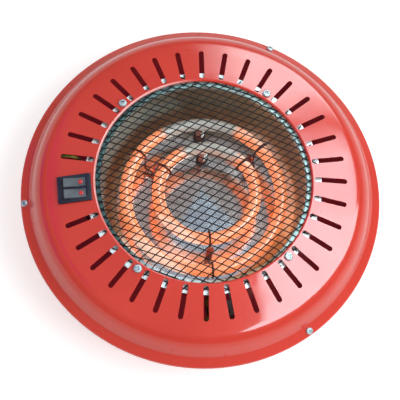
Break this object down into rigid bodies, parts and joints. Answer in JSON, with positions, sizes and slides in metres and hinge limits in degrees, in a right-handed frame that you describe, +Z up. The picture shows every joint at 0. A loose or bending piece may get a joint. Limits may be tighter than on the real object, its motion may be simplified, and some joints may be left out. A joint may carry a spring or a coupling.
{
  "type": "electric brazier",
  "caption": "Round table-top electric brazier: red slotted cover, wire guard over a reflector bowl with two ring heaters, and a double rocker switch.",
  "frame": {"origin": "centre of the bounding box on the surface that the feet stand on", "axes": "+Z up, square to the surface; the switch lies towards -X"},
  "size_m": [0.35, 0.35, 0.0988],
  "materials": {
    "red_enamel": "gloss",
    "black_wire": "satin black",
    "aluminium": "polished",
    "quartz": "frosted",
    "hot_coil": "glowing orange",
    "ceramic": "dark ceramic",
    "brown_steel": "heat-browned",
    "zinc": "zinc plated",
    "dark_plastic": "satin",
    "grey_plastic": "satin",
    "red_lens": "clear red",
    "block_plastic": "matte",
    "rubber": "matte",
    "black_plastic": "matte",
    "lead_grey": "heat-proof sleeve",
    "lead_white": "heat-proof sleeve",
    "lead_olive": "green and yellow sleeve"
  },
  "bodies": {
    "heater": {"cover": "red_enamel", "base_pan": "red_enamel", "reflector": "aluminium", "guard_upper_wires": "black_wire", "guard_lower_wires": "black_wire", "outer_ring_tube": "quartz", "inner_ring_tube": "quartz", "outer_heating_coil": "hot_coil", "inner_heating_coil": "hot_coil", "outer_tube_bush": "ceramic", "inner_tube_bush": "ceramic", "support_posts": "brown_steel", "support_screws": "zinc", "tube_hooks": "black_wire", "cover_screws": "zinc", "brim_screws": "zinc", "brim_nuts": "zinc", "switch_body": "dark_plastic", "switch_terminals": "zinc", "terminal_block": "block_plastic", "terminal_screws": "zinc", "block_screws": "zinc", "thermal_cutout": "ceramic", "cutout_screws": "zinc", "cable_gland": "black_plastic", "gland_nut": "black_plastic", "feet": "rubber", "foot_screws": "zinc", "foot_nuts": "zinc", "earth_screw": "zinc", "earth_nut": "zinc", "supply_leads": "lead_grey", "element_leads": "lead_white", "earth_lead": "lead_olive"},
    "outer_rocker": {"outer_ring_rocker": "grey_plastic", "outer_ring_lens": "red_lens"},
    "inner_rocker": {"inner_ring_rocker": "grey_plastic", "inner_ring_lens": "red_lens"}
  },
  "joints": [
    {"name": "outer_ring_switch", "type": "hinge", "parent": "heater", "child": "outer_rocker", "pos_m": [-0.12227, 0.0056, 0.08606], "axis": [0, -1, 0], "range_deg": [0, 18]},
    {"name": "inner_ring_switch", "type": "hinge", "parent": "heater", "child": "inner_rocker", "pos_m": [-0.12227, -0.0056, 0.08606], "axis": [0, -1, 0], "range_deg": [0, 18]}
  ]
}
